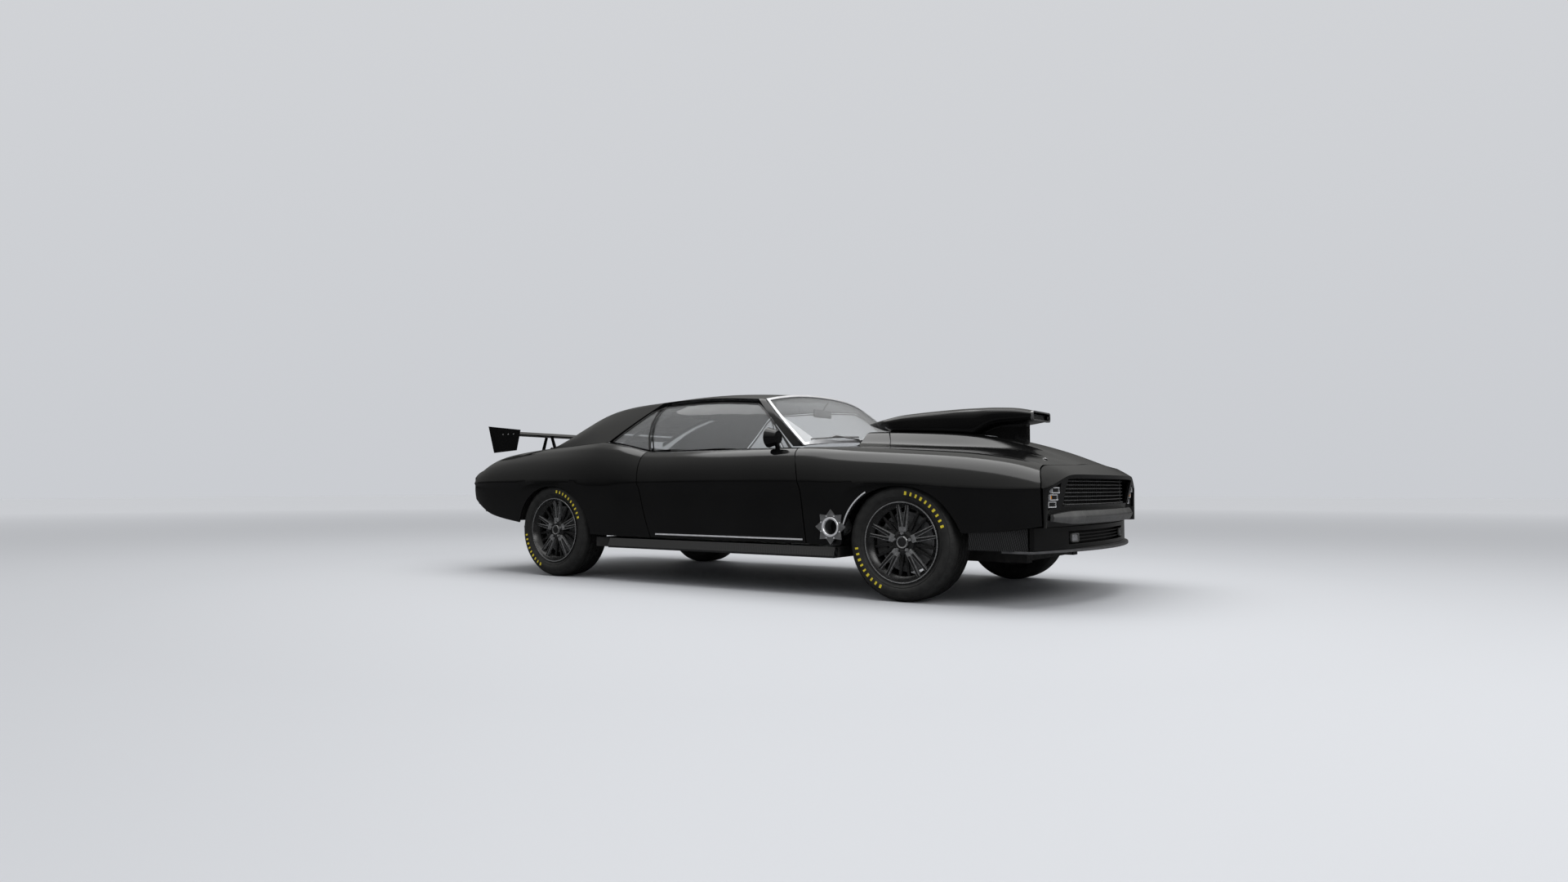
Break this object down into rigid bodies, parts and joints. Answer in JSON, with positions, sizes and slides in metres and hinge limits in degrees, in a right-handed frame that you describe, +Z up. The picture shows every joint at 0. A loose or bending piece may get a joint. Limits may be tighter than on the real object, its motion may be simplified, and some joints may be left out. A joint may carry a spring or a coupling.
{
  "type": "muscle car",
  "caption": "Two-door muscle car with opening doors, hood with drag scoop, wing on the trunk lid, steered front wheels and side exhausts.",
  "frame": {"origin": "on the ground, at the centre of the outline box seen from above", "axes": "+X towards the nose, +Y towards the left side, +Z up"},
  "size_m": [4.635, 1.891, 1.2731],
  "materials": {
    "black_paint": "gloss",
    "dark_metal": "satin",
    "black_plastic": "satin",
    "dark_chrome": "gloss",
    "grey_plastic": "satin",
    "red_lens": "gloss",
    "carbon": "gloss",
    "tinted_glass": "gloss",
    "cabin_plastic": "matte",
    "cabin_cloth": "matte",
    "cast_metal": "matte",
    "bright_metal": "satin",
    "wheel_alloy": "satin",
    "tyre_rubber": "matte"
  },
  "bodies": {
    "body": {"floor_pan": "dark_metal", "subframe": "dark_metal", "control_arms": "dark_metal", "inner_fenders": "dark_metal", "front_fenders": "black_paint", "quarter_panels": "black_paint", "roof": "black_paint", "cowl": "black_paint", "nose": "black_paint", "grille": "black_plastic", "headlamp_covers": "black_plastic", "front_bumper": "dark_chrome", "front_valance": "black_paint", "front_corners": "carbon", "splitter": "grey_plastic", "radiator": "dark_metal", "trunk_sides": "dark_metal", "tail_panel": "black_paint", "tail_lamps": "red_lens", "rear_bumper": "dark_chrome", "rear_valance": "black_paint", "side_skirts": "carbon", "windshield": "tinted_glass", "rear_window": "tinted_glass", "quarter_glass": "tinted_glass", "rear_louvre": "black_plastic", "dashboard": "cabin_plastic", "front_seats": "cabin_cloth", "rear_seat": "cabin_cloth", "engine": "cast_metal", "exhausts": "bright_metal", "rear_axle": "cast_metal", "leaf_springs": "dark_metal", "driveshaft": "dark_metal", "fuel_tank": "dark_metal"},
    "door_right": {"door_right": "black_paint", "door_glass_right": "tinted_glass"},
    "door_left": {"door_left": "black_paint", "door_glass_left": "tinted_glass"},
    "hood": {"hood": "black_paint", "hood_scoop": "black_paint"},
    "trunk": {"trunk_lid": "black_paint", "wing": "black_plastic"},
    "knuckle_right": {"knuckle_right": "cast_metal"},
    "knuckle_left": {"knuckle_left": "cast_metal"},
    "wheel_fr": {"wheel_fr": "wheel_alloy", "tyre_fr": "tyre_rubber"},
    "wheel_fl": {"wheel_fl": "wheel_alloy", "tyre_fl": "tyre_rubber"},
    "wheel_rr": {"wheel_rr": "wheel_alloy", "tyre_rr": "tyre_rubber"},
    "wheel_rl": {"wheel_rl": "wheel_alloy", "tyre_rl": "tyre_rubber"}
  },
  "joints": [
    {"name": "door_right_hinge", "type": "hinge", "parent": "body", "child": "door_right", "pos_m": [0.6605, -0.921, 0.55], "axis": [0, 0, 1], "range_deg": [0, 65]},
    {"name": "door_left_hinge", "type": "hinge", "parent": "body", "child": "door_left", "pos_m": [0.6605, 0.921, 0.55], "axis": [0, 0, -1], "range_deg": [0, 65]},
    {"name": "hood_hinge", "type": "hinge", "parent": "body", "child": "hood", "pos_m": [0.7695, 0, 0.94], "axis": [0, -1, 0], "range_deg": [0, 42]},
    {"name": "trunk_hinge", "type": "hinge", "parent": "body", "child": "trunk", "pos_m": [-1.6255, 0, 0.934], "axis": [0, 1, 0], "range_deg": [0, 60]},
    {"name": "steer_right", "type": "hinge", "parent": "body", "child": "knuckle_right", "pos_m": [1.4175, -0.7455, 0.325], "axis": [0, 0, 1], "range_deg": [-30, 30]},
    {"name": "steer_left", "type": "hinge", "parent": "body", "child": "knuckle_left", "pos_m": [1.4175, 0.7455, 0.325], "axis": [0, 0, 1], "range_deg": [-30, 30]},
    {"name": "wheel_fr_spin", "type": "hinge", "parent": "knuckle_right", "child": "wheel_fr", "pos_m": [1.4175, -0.7955, 0.325], "axis": [0, 1, 0], "continuous": true},
    {"name": "wheel_fl_spin", "type": "hinge", "parent": "knuckle_left", "child": "wheel_fl", "pos_m": [1.4175, 0.7955, 0.325], "axis": [0, 1, 0], "continuous": true},
    {"name": "wheel_rr_spin", "type": "hinge", "parent": "body", "child": "wheel_rr", "pos_m": [-1.3255, -0.7955, 0.325], "axis": [0, 1, 0], "continuous": true},
    {"name": "wheel_rl_spin", "type": "hinge", "parent": "body", "child": "wheel_rl", "pos_m": [-1.3255, 0.7955, 0.325], "axis": [0, 1, 0], "continuous": true}
  ],
  "couplings": [
    {"joint": "steer_left", "follows": "steer_right", "ratio": 1}
  ]
}
